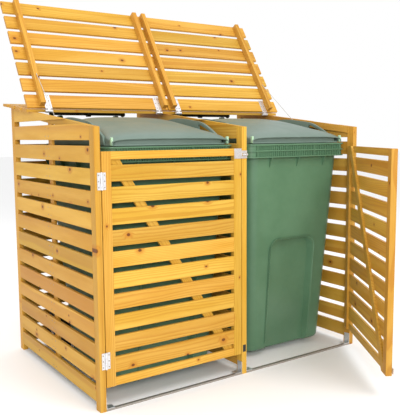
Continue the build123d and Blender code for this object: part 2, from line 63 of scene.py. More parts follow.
# how far the right door and the lids stand open at rest, and the slope of the roof
turns = {
    "rightDoor": math.radians(57.0),
    "roofSlope": math.atan(0.117),
    "lidOpen": math.radians(129.0),
}


# camera

camera = {
    "place": (-1.6093, -2.0496, 1.0106),
    "turn": math.radians(-34.327),
    "tilt": math.radians(83.466),
    "roll": math.radians(-0.46),
    "lens": 54.53,
    "sensor": 36,
}
bpy.ops.object.camera_add()
eye = bpy.context.object
eye.name = "camera"
eye.data.lens = camera["lens"]
eye.data.sensor_width = camera["sensor"]
turned = Matrix.Rotation(camera["turn"], 4, "Z")
turned = turned @ Matrix.Rotation(camera["tilt"], 4, "X")
turned = turned @ Matrix.Rotation(camera["roll"], 4, "Z")
eye.matrix_world = Matrix.Translation(camera["place"]) @ turned
bpy.context.scene.camera = eye
print("camera placed")


# studio

studio = {
    "world": (1.0, 1.0, 1.0),
    "worldStrength": 1.0,
    "view": "Standard",
    "lamps": {
        "key": {"place": (-2.3, -3.9, 2.0), "size": 1.0, "power": 104, "aim": (0.1, 0.2, 0.6)},
        "fill": {"place": (0.8, -2.6, 4.0), "size": 2.0, "power": 75, "aim": (0.0, 0.6, 1.2)},
        "back": {"place": (-1.0, 3.0, 3.6), "size": 2.4, "power": 40, "aim": (0.0, 0.4, 0.9)},
    },
}
world = bpy.data.worlds.new("studio")
bpy.context.scene.world = world
bpy.context.scene.view_settings.view_transform = studio["view"]
world.use_nodes = True
sky = world.node_tree.nodes["Background"]
sky.inputs["Color"].default_value = (*studio["world"], 1)
sky.inputs["Strength"].default_value = studio["worldStrength"]
for lampName, lamp in studio["lamps"].items():
    bpy.ops.object.light_add(type="AREA", location=lamp["place"])
    light = bpy.context.object
    light.name = lampName + "_light"
    light.data.size = lamp["size"]
    light.data.energy = lamp["power"]
    away = Vector(lamp["aim"]) - Vector(lamp["place"])
    light.rotation_euler = away.to_track_quat("-Z", "Y").to_euler()
print("studio lit")


# materials: small helpers first

def startMaterial(name):
    material = bpy.data.materials.new(name)
    material.use_nodes = True
    tree = material.node_tree
    surface = tree.nodes["Principled BSDF"]
    return material, tree, surface


def addNode(tree, kind, inputs=None, **settings):
    node = tree.nodes.new(kind)
    for key, value in settings.items():
        setattr(node, key, value)
    for key, value in (inputs or {}).items():
        if isinstance(value, bpy.types.NodeSocket):
            tree.links.new(value, node.inputs[key])
        else:
            node.inputs[key].default_value = value
    return node


def maths(tree, operation, first, second=0.0, third=0.0):
    node = addNode(tree, "ShaderNodeMath", {0: first, 1: second, 2: third}, operation=operation)
    return node.outputs[0]


def fade(tree, value, low, high, bottom=0.0, top=1.0):
    node = addNode(
        tree,
        "ShaderNodeMapRange",
        {"Value": value, "From Min": low, "From Max": high, "To Min": bottom, "To Max": top},
        interpolation_type="SMOOTHSTEP",
    )
    return node.outputs["Result"]


def blendColours(tree, amount, first, second, how="MIX"):
    node = addNode(tree, "ShaderNodeMix", data_type="RGBA", blend_type=how)
    sockets = {"Factor": amount, "A": first, "B": second}
    for socket in node.inputs:
        if socket.name in sockets and socket.enabled:
            value = sockets[socket.name]
            if isinstance(value, bpy.types.NodeSocket):
                tree.links.new(value, socket)
            elif socket.type == "RGBA":
                socket.default_value = (*value, 1)
            else:
                socket.default_value = value
    return [socket for socket in node.outputs if socket.enabled][0]


def noise(tree, vector, scale, detail=3.0, roughness=0.5):
    inputs = {"Vector": vector, "Scale": scale, "Detail": detail, "Roughness": roughness}
    return addNode(tree, "ShaderNodeTexNoise", inputs).outputs["Fac"]


def combine(tree, x, y, z):
    return addNode(tree, "ShaderNodeCombineXYZ", {"X": x, "Y": y, "Z": z}).outputs[0]


def stretched(tree, along, across, depth, length, width):
    # a point that runs slowly along the board and fast across it
    return combine(
        tree,
        maths(tree, "MULTIPLY", along, length),
        maths(tree, "MULTIPLY", across, width),
        maths(tree, "MULTIPLY", depth, width),
    )


def coat(piece, material):
    piece.data.materials.clear()
    piece.data.materials.append(material)


def paint(names, material):
    for name in names:
        coat(nodes[name], material)


pine = {
    "light": (0.60, 0.365, 0.060),
    "honey": (0.52, 0.29, 0.032),
    "late": (0.41, 0.18, 0.015),
    "knot": (0.15, 0.05, 0.012),
    "halo": (0.44, 0.17, 0.020),
    "end": (0.48, 0.22, 0.030),
    "ringWidth": 0.0075,
    "ringStrength": 0.5,
    "knotSpacing": 0.085,
    "knotShare": 0.16,
    "knotReach": (0.035, 0.110),
    "knotRagged": 0.05,
    "knotFlatten": 1.35,
    "knotBend": 0.007,
    "haloStrength": 0.75,
    "endStrength": 0.75,
    "logAlong": 23.0,
    "logAcross": 3.1,
    "pithAcross": 0.10,
    "pithDepth": (0.012, 0.072),
    "sway": 0.075,
    "swayScale": (1.3, 9.0),
    "fibreScale": (9.0, 620.0),
    "stainScale": (2.2, 17.0),
    "toneSpread": 0.24,
    "fibreSpread": 0.20,
    "hue": (0.487, 0.501),
    "roughness": (0.36, 0.58),
    "specular": 0.14,
    "bump": 0.35,
    "bumpHeight": 0.0006,
}


def spread(tree, value, width, middle=0.0):
    # takes a value between 0 and 1 to a range of this width about the middle
    return maths(tree, "MULTIPLY_ADD", value, width, middle - width / 2)


def between(tree, value, limits):
    return maths(tree, "MULTIPLY_ADD", value, limits[1] - limits[0], limits[0])


def honeyPine(name, order, cell, spot=(0, 0, 0), turn=(0, 0, 0), seed=0.0):
    # order names the axes along the grain, across it and through the board
    material, tree, surface = startMaterial(name)
    place = addNode(tree, "ShaderNodeTexCoord")
    back = tuple(-v for v in spot)
    shifted = addNode(tree, "ShaderNodeMapping", {"Vector": place.outputs["Object"], "Location": back})
    turned = {"Vector": shifted.outputs[0], "Rotation": turn}
    moved = addNode(tree, "ShaderNodeMapping", turned).outputs[0]
    normal = {"Vector": place.outputs["Normal"], "Rotation": turn}
    facing = addNode(tree, "ShaderNodeMapping", normal).outputs[0]
    split = addNode(tree, "ShaderNodeSeparateXYZ", {0: moved})
    along, across, through = [split.outputs["XYZ".index(axis)] for axis in order]
    normalSplit = addNode(tree, "ShaderNodeSeparateXYZ", {0: facing})
    endFacing = maths(tree, "ABSOLUTE", normalSplit.outputs["XYZ".index(order[0])])
    # each board takes its own part of the log
    cells = []
    for value, size, start in zip((along, across, through), cell["size"], cell["start"]):
        steps = maths(tree, "DIVIDE", maths(tree, "SUBTRACT", value, start), size)
        cells.append(maths(tree, "FLOOR", steps))
    number = combine(tree, *cells)
    dice = addNode(tree, "ShaderNodeTexWhiteNoise", {"Vector": number, "W": seed}, noise_dimensions="4D")
    roll = addNode(tree, "ShaderNodeSeparateColor", {0: dice.outputs["Color"]})
    red, green, blue = roll.outputs
    pitch, first = cell["size"][1], cell["start"][1]
    centre = maths(tree, "MULTIPLY_ADD", cells[1], pitch, first + pitch / 2)
    local = maths(tree, "SUBTRACT", across, centre)
    depth = maths(tree, "SUBTRACT", through, cell["middle"])
    boardAlong = maths(tree, "MULTIPLY_ADD", red, pine["logAlong"], along)
    boardAcross = maths(tree, "MULTIPLY_ADD", green, pine["logAcross"], local)
    # knots
    flat = combine(tree, boardAlong, maths(tree, "MULTIPLY", boardAcross, pine["knotFlatten"]), 0.0)
    knots = addNode(
        tree,
        "ShaderNodeTexVoronoi",
        {"Vector": flat, "Scale": 1 / pine["knotSpacing"]},
        voronoi_dimensions="2D",
    )
    draw = addNode(tree, "ShaderNodeSeparateColor", {0: knots.outputs["Color"]})
    present = maths(tree, "LESS_THAN", draw.outputs[0], pine["knotShare"])
    ragged = spread(tree, noise(tree, flat, 160.0), pine["knotRagged"])
    away = maths(tree, "ADD", knots.outputs["Distance"], ragged)
    reach = between(tree, draw.outputs[1], pine["knotReach"])
    ratio = maths(tree, "DIVIDE", away, reach)
    knotCore = maths(tree, "MULTIPLY", fade(tree, ratio, 1.1, 0.75), present)
    knotHalo = maths(tree, "MULTIPLY", fade(tree, ratio, 3.6, 0.9), present)
    # growth rings, met flat or nearly upright, bent by the knots
    slow = stretched(tree, boardAlong, boardAcross, depth, *pine["swayScale"])
    sway = spread(tree, noise(tree, slow, 1.0, 2.0), pine["sway"])
    pithAcross = spread(tree, blue, pine["pithAcross"])
    pithDepth = between(tree, red, pine["pithDepth"])
    offAcross = maths(tree, "ADD", maths(tree, "ADD", local, pithAcross), sway)
    offDepth = maths(tree, "ADD", depth, pithDepth)
    squares = [maths(tree, "POWER", off, 2.0) for off in (offAcross, offDepth)]
    radius = maths(tree, "SQRT", maths(tree, "ADD", *squares))
    radius = maths(tree, "MULTIPLY_ADD", knotHalo, pine["knotBend"], radius)
    ring = maths(tree, "FRACT", maths(tree, "DIVIDE", radius, pine["ringWidth"]))
    lateWood = maths(tree, "MULTIPLY", fade(tree, ring, 0.35, 0.9), fade(tree, ring, 1.0, 0.93))
    # fibres and stain
    threads = stretched(tree, boardAlong, boardAcross, depth, *pine["fibreScale"])
    fibre = noise(tree, threads, 1.0, 3.0, 0.6)
    patches = stretched(tree, boardAlong, boardAcross, depth, *pine["stainScale"])
    stain = noise(tree, patches, 1.0, 4.0, 0.55)
    colour = blendColours(tree, fade(tree, stain, 0.32, 0.68), pine["light"], pine["honey"])
    rings = maths(tree, "MULTIPLY", lateWood, pine["ringStrength"])
    colour = blendColours(tree, rings, colour, pine["late"])
    tone = spread(tree, blue, pine["toneSpread"], 1.0 - pine["fibreSpread"] / 2)
    tone = maths(tree, "MULTIPLY_ADD", fibre, pine["fibreSpread"], tone)
    dyed = {"Color": colour, "Value": tone, "Hue": between(tree, green, pine["hue"])}
    shade = addNode(tree, "ShaderNodeHueSaturation", dyed).outputs[0]
    halo = maths(tree, "MULTIPLY", knotHalo, pine["haloStrength"])
    shade = blendColours(tree, halo, shade, pine["halo"])
    shade = blendColours(tree, knotCore, shade, pine["knot"])
    cut = fade(tree, endFacing, 0.7, 0.95, 0.0, pine["endStrength"])
    shade = blendColours(tree, cut, shade, pine["end"])
    tree.links.new(shade, surface.inputs["Base Color"])
    rough = between(tree, fibre, pine["roughness"])
    rough = maths(tree, "MULTIPLY_ADD", lateWood, -0.06, rough)
    tree.links.new(rough, surface.inputs["Roughness"])
    relief = maths(tree, "MULTIPLY_ADD", lateWood, 0.4, maths(tree, "MULTIPLY", fibre, 0.7))
    relief = maths(tree, "MULTIPLY_ADD", knotCore, -0.8, relief)
    lift = {"Height": relief, "Strength": pine["bump"], "Distance": pine["bumpHeight"]}
    bump = addNode(tree, "ShaderNodeBump", lift)
    tree.links.new(bump.outputs[0], surface.inputs["Normal"])
    surface.inputs["Specular IOR Level"].default_value = pine["specular"]
    return material


boards = {
    "walls": {
        "names": ["wall_slats_left", "wall_slats_middle", "wall_slats_right"],
        "order": "YZX",
        "cell": {"size": (3.0, 0.0805, 0.3), "start": (-1.0, 0.021, -0.9), "middle": 0.0},
        "seed": 1.0,
    },
    "rails": {
        "names": ["top_rail_left", "top_rail_middle", "top_rail_right"],
        "order": "YZX",
        "cell": {"size": (3.0, 3.0, 0.3), "start": (-1.0, -0.5, -0.9), "middle": 0.0},
        "seed": 2.0,
    },
    "back": {
        "names": ["back_slats"],
        "order": "XZY",
        "cell": {"size": (1.4, 0.0805, 1.0), "start": (-1.4, 0.021, 0.0), "middle": 0.862},
        "seed": 3.0,
    },
    "posts": {
        "names": [
            f"post_{row}_{side}" for row in ("front", "rear") for side in ("left", "middle", "right")
        ],
        "order": "ZXY",
        "cell": {"size": (3.0, 0.1, 0.5), "start": (-1.0, -0.75, -0.2), "middle": 0.0},
        "seed": 4.0,
    },
    "battens": {
        "names": ["wall_battens"],
        "order": "ZYX",
        "cell": {"size": (3.0, 3.0, 0.3), "start": (-1.0, -1.0, -0.9), "middle": 0.0},
        "seed": 5.0,
    },
    "doorLeftSlats": {
        "names": ["door_slats_left"],
        "order": "XZY",
        "cell": {"size": (3.0, 0.0787, 1.0), "start": (-2.0, 0.052, -0.5), "middle": -0.011},
        "seed": 6.0,
    },
    "doorLeftStiles": {
        "names": ["door_hinge_stile_left", "door_free_stile_left"],
        "order": "ZXY",
        "cell": {"size": (3.0, 0.3, 1.0), "start": (-1.0, -0.9, -0.5), "middle": -0.01},
        "seed": 7.0,
    },
    "doorLeftBrace": {
        "names": ["door_brace_left"],
        "order": "XZY",
        "cell": {"size": (3.0, 3.0, 1.0), "start": (-1.0, -1.5, -0.5), "middle": 0.0},
        "spot": (-0.329, 0.0, 0.5235),
        "turn": (0.0, -math.atan2(0.867, 0.552), 0.0),
        "seed": 8.0,
    },
    "rearRoof": {
        "names": ["rear_roof_boards"],
        "order": "XYZ",
        "cell": {"size": (4.0, 0.0852, 1.0), "start": (-2.0, -0.006, -0.5), "middle": 0.0},
        "spot": tuple(lidPin),
        "turn": (-turns["roofSlope"], 0.0, 0.0),
        "seed": 9.0,
    },
    "stops": {
        "names": ["door_stops"],
        "order": "ZXY",
        "cell": {"size": (3.0, 0.02, 1.0), "start": (-1.0, -0.9, -0.5), "middle": 0.0},
        "seed": 10.0,
    },
}
rightDoorSpot = {"spot": tuple(doorPin), "turn": (0.0, 0.0, -turns["rightDoor"])}
boards["doorRightSlats"] = {
    "names": ["door_slats_right"],
    "order": "XZY",
    "cell": {"size": (3.0, 0.0787, 1.0), "start": (-2.0, 0.052 - doorPin.z, -0.5), "middle": 0.012},
    "seed": 11.0,
    **rightDoorSpot,
}
boards["doorRightStiles"] = {
    "names": ["door_hinge_stile_right", "door_free_stile_right"],
    "order": "ZXY",
    "cell": {"size": (3.0, 0.3, 1.0), "start": (-1.0, -0.9, -0.5), "middle": 0.016},
    "seed": 12.0,
    **rightDoorSpot,
}
lidSpot = {"spot": (0.0, lidPin.y, lidPin.z), "turn": (turns["lidOpen"] - turns["roofSlope"], 0.0, 0.0)}
boards["lidSlats"] = {
    "names": ["roof_lid_slats_left", "roof_lid_slats_right"],
    "order": "XYZ",
    "cell": {"size": (1.5, 0.0852, 1.0), "start": (-1.5, -0.6022, -0.5), "middle": 0.0},
    "seed": 13.0,
    **lidSpot,
}
boards["lidBattens"] = {
    "names": ["roof_lid_battens_left", "roof_lid_battens_right"],
    "order": "YXZ",
    "cell": {"size": (3.0, 0.1, 1.0), "start": (-2.0, -0.75, -0.5), "middle": -0.02},
    "seed": 14.0,
    **lidSpot,
}
boards["doorRightBrace"] = {
    "names": ["door_brace_right"],
    "order": "ZXY",
    "cell": {"size": (3.0, 3.0, 1.0), "start": (-1.0, -1.5, -0.5), "middle": 0.0},
    "seed": 15.0,
    **rightDoorSpot,
}
for groupName, board in boards.items():
    wood = honeyPine(
        "pine_" + groupName,
        board["order"],
        board["cell"],
        board.get("spot", (0, 0, 0)),
        board.get("turn", (0, 0, 0)),
        board["seed"],
    )
    paint(board["names"], wood)
print("wood painted")


def plastic(name, colour, mottle, rough=0.42):
    material, tree, surface = startMaterial(name)
    place = addNode(tree, "ShaderNodeTexCoord").outputs["Object"]
    cloud = noise(tree, place, 5.0, 4.0, 0.6)
    grain = noise(tree, place, 900.0, 2.0)
    shade = blendColours(tree, fade(tree, cloud, 0.3, 0.7), colour, mottle)
    tree.links.new(shade, surface.inputs["Base Color"])
    tree.links.new(maths(tree, "MULTIPLY_ADD", cloud, 0.18, rough - 0.09), surface.inputs["Roughness"])
    bump = addNode(tree, "ShaderNodeBump", {"Height": grain, "Strength": 0.12, "Distance": 0.0003})
    tree.links.new(bump.outputs[0], surface.inputs["Normal"])
    surface.inputs["Specular IOR Level"].default_value = 0.3
    return material


def plated(name, colour, rough=0.35):
    material, tree, surface = startMaterial(name)
    place = addNode(tree, "ShaderNodeTexCoord").outputs["Object"]
    spangle = noise(tree, place, 180.0, 3.0, 0.6)
    darker = tuple(0.82 * c for c in colour)
    shade = blendColours(tree, fade(tree, spangle, 0.3, 0.7), colour, darker)
    tree.links.new(shade, surface.inputs["Base Color"])
    tree.links.new(maths(tree, "MULTIPLY_ADD", spangle, 0.25, rough - 0.1), surface.inputs["Roughness"])
    surface.inputs["Metallic"].default_value = 0.85
    return material


tubGreen = plastic("green_tub", (0.098, 0.196, 0.112), (0.078, 0.165, 0.090), 0.33)
lidGreen = plastic("green_lid", (0.150, 0.205, 0.172), (0.125, 0.178, 0.145), 0.40)
# pale green that paints the highlights on the lid's front corners, used for the end stops
paintedHighlightGreen = plastic("pale_green_edge", (0.42, 0.62, 0.42), (0.36, 0.55, 0.36), 0.4)
blackPlastic = plastic("black_plastic", (0.02, 0.024, 0.022), (0.03, 0.034, 0.032))
rubber = plastic("tyre_rubber", (0.018, 0.018, 0.018), (0.03, 0.03, 0.03), 0.75)
zinc = plated("zinc_plate", (0.80, 0.80, 0.82))
dullSteel = plated("dull_steel", (0.42, 0.38, 0.34), 0.5)
paint(["bin_handle_bars", "catch_magnet"], blackPlastic)
zincNodes = [
    "rear_roof_hinge_leaves",
    "hinge_pins",
    "foot_brackets",
    "post_hinge_leaves",
    "hasp_plate",
    "latch_stem",
    "latch_turn",
    "catch_striker",
    "bin_hinge_pins",
    "wheel_axles",
    "roof_lid_hinge_leaves_left",
    "roof_lid_hinge_leaves_right",
    "door_hinge_leaves_left",
    "door_hinge_leaves_right",
]
paint(zincNodes, zinc)
paint(["threshold_strips"], dullSteel)
cordPaint = plastic("pale_cord", (0.55, 0.53, 0.48), (0.42, 0.40, 0.36), 0.8)
print("metal and plastic painted")

# modelling helpers

def selectOnly(*pieces):
    bpy.ops.object.select_all(action="DESELECT")
    for piece in pieces:
        piece.select_set(True)
    bpy.context.view_layer.objects.active = pieces[0]


def settle(piece):
    selectOnly(piece)
    bpy.ops.object.transform_apply(location=True, rotation=True, scale=True)


def addCube(low, high):
    low, high = Vector(low), Vector(high)
    bpy.ops.object.select_all(action="DESELECT")
    bpy.ops.mesh.primitive_cube_add(size=1, location=(low + high) / 2)
    piece = bpy.context.object
    piece.scale = high - low
    settle(piece)
    return piece


def addBlock(x, half, low, high):
    # a box about x, between two points of the side view
    return addCube((x - half, *low), (x + half, *high))


def addRod(centre, radius, length, axis="X", sides=32):
    turned = {"X": (0, math.pi / 2, 0), "Y": (math.pi / 2, 0, 0), "Z": (0, 0, 0)}[axis]
    bpy.ops.object.select_all(action="DESELECT")
    bpy.ops.mesh.primitive_cylinder_add(
        vertices=sides, radius=radius, depth=length, location=centre, rotation=turned
    )
    piece = bpy.context.object
    settle(piece)
    return piece


def edit(piece, kind, test, *actions):
    # runs operators on the faces, edges or vertices that pass the test
    selectOnly(piece)
    mesh = piece.data
    for part in (mesh.vertices, mesh.edges, mesh.polygons):
        part.foreach_set("select", [False] * len(part))
    for item in getattr(mesh, kind):
        item.select = bool(test(item))
    kinds = ("vertices", "edges", "polygons")
    bpy.context.tool_settings.mesh_select_mode = tuple(kind == other for other in kinds)
    bpy.ops.object.mode_set(mode="EDIT")
    for action in actions:
        action()
    bpy.ops.object.mode_set(mode="OBJECT")


def shift(piece, test, move):
    edit(piece, "vertices", test, lambda: bpy.ops.transform.translate(value=move))


def extrudeBy(move):
    bpy.ops.mesh.extrude_region_move(TRANSFORM_OT_translate={"value": move})


def ends(piece, edge):
    return [piece.data.vertices[i].co for i in edge.vertices]


def modify(piece, kind, **settings):
    selectOnly(piece)
    modifier = piece.modifiers.new(kind, kind)
    for key, value in settings.items():
        setattr(modifier, key, value)
    bpy.ops.object.modifier_apply(modifier=modifier.name)


def soften(piece, width, segments=2, angle=35):
    limit = {"limit_method": "ANGLE", "angle_limit": math.radians(angle)}
    modify(piece, "BEVEL", width=width, segments=segments, **limit)


def repeat(piece, count, offset):
    modify(
        piece,
        "ARRAY",
        count=count,
        use_relative_offset=False,
        use_constant_offset=True,
        constant_offset_displace=offset,
    )


def carve(piece, cutter, operation="DIFFERENCE"):
    modify(piece, "BOOLEAN", operation=operation, solver="EXACT", object=cutter)
    bpy.data.objects.remove(cutter, do_unlink=True)


def join(pieces, name):
    selectOnly(*pieces)
    bpy.ops.object.join()
    piece = bpy.context.object
    piece.name = name
    return piece


def smooth(piece, angle=35):
    selectOnly(piece)
    bpy.ops.object.shade_smooth_by_angle(angle=math.radians(angle))


def bevelChosen(width, segments):
    bpy.ops.mesh.bevel(offset=width, offset_type="OFFSET", segments=segments, affect="EDGES")


def mergeDoubles():
    bpy.ops.mesh.remove_doubles(threshold=0.00002)


def weld(piece, *actions):
    edit(piece, "polygons", lambda face: True, mergeDoubles, *actions)


def outward(piece):
    weld(piece, lambda: bpy.ops.mesh.normals_make_consistent(inside=False))


def dropFaces(piece, test):
    edit(piece, "polygons", test, lambda: bpy.ops.mesh.delete(type="FACE"))


def copied(piece, name, matrix):
    twin = piece.copy()
    twin.data = piece.data.copy()
    twin.name = name
    bpy.context.collection.objects.link(twin)
    twin.data.transform(matrix)
    return twin


def roundedTube(low, high, radius, segments=8):
    # four walls with rounded upright corners, open above and below
    piece = addCube(low, high)
    edit(
        piece,
        "edges",
        lambda edge: abs(ends(piece, edge)[0].z - ends(piece, edge)[1].z) > 0.001,
        lambda: bevelChosen(radius, segments),
    )
    dropFaces(piece, lambda face: abs(face.normal.z) > 0.9)
    return piece


def ring(low, high, radius, wall):
    piece = roundedTube(low, high, radius)
    modify(piece, "SOLIDIFY", thickness=wall, offset=-1, use_even_offset=True)
    return piece


# lid stays: taut cords from each lid's outer batten to the rail beside it

stay = {
    "radius": 0.0012,
    "length": 0.321,
    "onLid": (0.632, 0.62578, 1.28307),
    "onRail": (0.645, 0.381, 1.0758),
}
for side, way in (("left", -1), ("right", 1)):
    start = Vector((way * stay["onLid"][0], *stay["onLid"][1:]))
    end = Vector((way * stay["onRail"][0], *stay["onRail"][1:]))
    line = bpy.data.curves.new("stay_line_" + side, "CURVE")
    line.dimensions = "3D"
    line.resolution_u = 8
    spline = line.splines.new("NURBS")
    spline.points.add(4)
    for i, point in enumerate(spline.points):
        point.co = (*start.lerp(end, i / 4), 1)
    spline.order_u = 3
    spline.use_endpoint_u = True
    bare = bpy.data.objects.new("stay_" + side, line)
    bpy.context.collection.objects.link(bare)
    route = [list(vertex.co) for vertex in bpy.data.meshes.new_from_object(bare).vertices]
    line.bevel_depth = stay["radius"]
    line.bevel_resolution = 2
    line.use_fill_caps = True
    selectOnly(bare)
    bpy.ops.object.convert(target="MESH")
    cord = bpy.context.object
    cord.name = "lid_cord_" + side
    coat(cord, cordPaint)
    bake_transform(cord)
    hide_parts("lid_stay_" + side)
print("stays strung")

# bin tub: modelled once about its own middle, Y from the front of the rim

tub = {
    "rimHalf": 0.295,
    "rimDepth": 0.700,
    "rimFoot": 0.913,
    "rimTop": 0.972,
    "neckHalf": 0.267,
    "neckFront": 0.024,
    "footHalf": 0.226,
    "footFront": 0.090,
    "footBack": 0.545,
    "foot": 0.026,
    "corner": 0.050,
    "footCorner": 0.020,
    "wall": 0.004,
    "recessHalf": 0.132,
    "recessTop": 0.545,
    "recessFoot": -0.050,
    "recessCorner": 0.050,
    "recessDepth": 0.028,
    "recessLean": 0.012,
    "bead": 0.006,
    "beadOut": 0.003,
    "beadFoot": 0.060,
}


def makeTubBody():
    back = tub["rimDepth"] - tub["neckFront"]
    low = (-tub["neckHalf"], tub["neckFront"], tub["foot"])
    body = addCube(low, (tub["neckHalf"], back, tub["rimFoot"]))
    middle = (tub["neckFront"] + back) / 2
    shrinkX = tub["footHalf"] / tub["neckHalf"]
    shrinkY = (tub["footBack"] - tub["footFront"]) / (back - tub["neckFront"])
    step = (tub["footFront"] + tub["footBack"]) / 2 - middle
    edit(
        body,
        "polygons",
        lambda face: face.normal.z < -0.9,
        lambda: bpy.ops.transform.resize(value=(shrinkX, shrinkY, 1), center_override=(0, middle, 0)),
        lambda: bpy.ops.transform.translate(value=(0, step, 0)),
    )
    edit(
        body,
        "edges",
        lambda edge: abs(ends(body, edge)[0].z - ends(body, edge)[1].z) > 0.5,
        lambda: bevelChosen(tub["corner"], 10),
    )
    edit(
        body,
        "edges",
        lambda edge: max(end.z for end in ends(body, edge)) < tub["foot"] + 0.0001,
        lambda: bevelChosen(tub["footCorner"], 4),
    )
    return body


def makeArch(grow, out, into, low):
    # an arch that follows the lean of the front and narrows as it goes in
    lean = (tub["footFront"] - tub["neckFront"]) / (tub["rimFoot"] - tub["foot"])
    top = tub["recessTop"]
    front = tub["neckFront"] + (tub["rimFoot"] - top) * lean
    half = tub["recessHalf"] + grow
    arch = addCube((-half, front - out, low), (half, front + into, top + grow))
    edit(
        arch,
        "edges",
        lambda edge: min(end.z for end in ends(arch, edge)) > top - 0.001
        and abs(ends(arch, edge)[0].y - ends(arch, edge)[1].y) > 0.001,
        lambda: bevelChosen(tub["recessCorner"] + grow, 9),
    )
    inner = front + into - 0.0001
    narrower = (1 - tub["recessLean"] / half, 1, 1)
    edit(
        arch,
        "vertices",
        lambda vertex: vertex.co.y > inner,
        lambda: bpy.ops.transform.resize(value=narrower, center_override=(0, 0, 0)),
    )
    down = (0, 0, -tub["recessLean"])
    shift(arch, lambda vertex: vertex.co.y > inner and vertex.co.z > low + 0.01, down)
    shift(arch, lambda vertex: vertex.co.z < low + 0.001, (0, (top - low) * lean, 0))
    return arch


rim = {
    "corner": 0.046,
    "lip": (0.007, 0.027),
    "shelf": (0.005, 0.012),
    "middleShelf": 0.027,
    "inset": 0.007,
    "insetCorner": 0.040,
    "wall": 0.003,
    "edge": 0.0012,
    "tiers": ((0.004, 0.024), (0.031, 0.022)),
    "ribPitch": 0.011,
    "ribWidth": 0.0017,
    "ribDepth": 0.008,
    "ribInset": 0.0015,
    "ribMargin": 0.050,
    "strongPitch": 0.165,
    "strongHalf": 0.002,
    "strongDepth": (0.0004, 0.012),
    "strongCount": 4,
}


def makeRimRings():
    # a flat lip, a shelf halfway down, a shelf at the foot, and the upright wall inside them
    half, depth = tub["rimHalf"], tub["rimDepth"]
    foot, top = tub["rimFoot"], tub["rimTop"]
    lipHeight, lipWidth = rim["lip"]
    shelfHeight, shelfWidth = rim["shelf"]
    rings = [ring((-half, 0, top - lipHeight), (half, depth, top), rim["corner"], lipWidth)]
    for low in (foot + rim["middleShelf"], foot):
        high = low + shelfHeight
        rings.append(ring((-half, 0, low), (half, depth, high), rim["corner"], shelfWidth))
    for piece in rings:
        soften(piece, rim["edge"], 2, 50)
    inset = rim["inset"]
    low = (-half + inset, inset, foot + 0.0005)
    high = (half - inset, depth - inset, top - 0.001)
    rings.append(ring(low, high, rim["insetCorner"], rim["wall"]))
    return rings


def makeRim():
    half, depth = tub["rimHalf"], tub["rimDepth"]
    foot, top = tub["rimFoot"], tub["rimTop"]
    pieces = makeRimRings()
    # two tiers of fine ribs, with a stronger one at intervals
    pitch, margin = rim["ribPitch"], 2 * rim["ribMargin"]
    alongX = int((2 * half - margin) / pitch) + 1
    alongY = int((depth - margin) / pitch) + 1
    startX = -(alongX - 1) * pitch / 2
    startY = depth / 2 - (alongY - 1) * pitch / 2
    thin = rim["ribWidth"] / 2
    near, deep = rim["ribInset"], rim["ribDepth"]
    for rise, height in rim["tiers"]:
        z = foot + rise
        for y in (near, depth - near - deep):
            rib = addCube((startX - thin, y, z), (startX + thin, y + deep, z + height))
            repeat(rib, alongX, (pitch, 0, 0))
            pieces.append(rib)
        for x in (-half + near, half - near - deep):
            rib = addCube((x, startY - thin, z), (x + deep, startY + thin, z + height))
            repeat(rib, alongY, (0, pitch, 0))
            pieces.append(rib)
    wide, (front, back) = rim["strongHalf"], rim["strongDepth"]
    x = -(rim["strongCount"] - 1) / 2 * rim["strongPitch"]
    strong = addCube((x - wide, front, foot + 0.001), (x + wide, back, top - 0.001))
    soften(strong, 0.0006, 1)
    repeat(strong, rim["strongCount"], (rim["strongPitch"], 0, 0))
    pieces.append(strong)
    return pieces


gussets = {
    "pitch": 0.160,
    "half": 0.002,
    "drop": 0.042,
    "overlap": 0.004,
    "inset": 0.003,
    "frontDepth": 0.034,
    "frontCut": 0.020,
    "sideOverlap": 0.008,
    "sideCut": 0.022,
    "sideStart": 0.140,
}


def makeGussets():
    # small webs that hold the rim to the front and the sides, cut away at their outer lower corner
    low, high = tub["rimFoot"] - gussets["drop"], tub["rimFoot"] + gussets["overlap"]
    pitch, wide, inset = gussets["pitch"], gussets["half"], gussets["inset"]
    gusset = addCube((-pitch - wide, inset, low), (-pitch + wide, gussets["frontDepth"], high))
    shift(
        gusset,
        lambda vertex: vertex.co.z < low + 0.001 and vertex.co.y < inset + 0.001,
        (0, gussets["frontCut"], 0),
    )
    soften(gusset, 0.0006, 1)
    repeat(gusset, 3, (pitch, 0, 0))
    pieces = [gusset]
    y = gussets["sideStart"]
    for way in (-1, 1):
        outer = way * (tub["rimHalf"] - inset)
        inner = way * (tub["neckHalf"] - gussets["sideOverlap"])
        side = addCube((min(outer, inner), y - wide, low), (max(outer, inner), y + wide, high))
        shift(
            side,
            lambda vertex: vertex.co.z < low + 0.001 and abs(vertex.co.x) > abs(outer) - 0.001,
            (-way * gussets["sideCut"], 0, 0),
        )
        soften(side, 0.0006, 1)
        repeat(side, 4, (0, pitch, 0))
        pieces.append(side)
    return pieces


fittings = {
    "armX": 0.146,
    "armHalf": 0.008,
    "armRoot": (0.690, 0.919, 0.968),
    "armEnd": 0.776,
    "armRise": (0.130, 0.142),
    "armTip": (0.032, 0.030),
    "eyeX": 0.1912,
    "pin": (0.722, 1.0),
    "eye": (0.012, 0.026),
    "stand": ((0.694, 0.942), (0.733, 0.998)),
    "bracketX": 0.180,
    "bracketHalf": 0.014,
    "bracket": ((0.520, 0.080), (0.711, 0.130)),
}


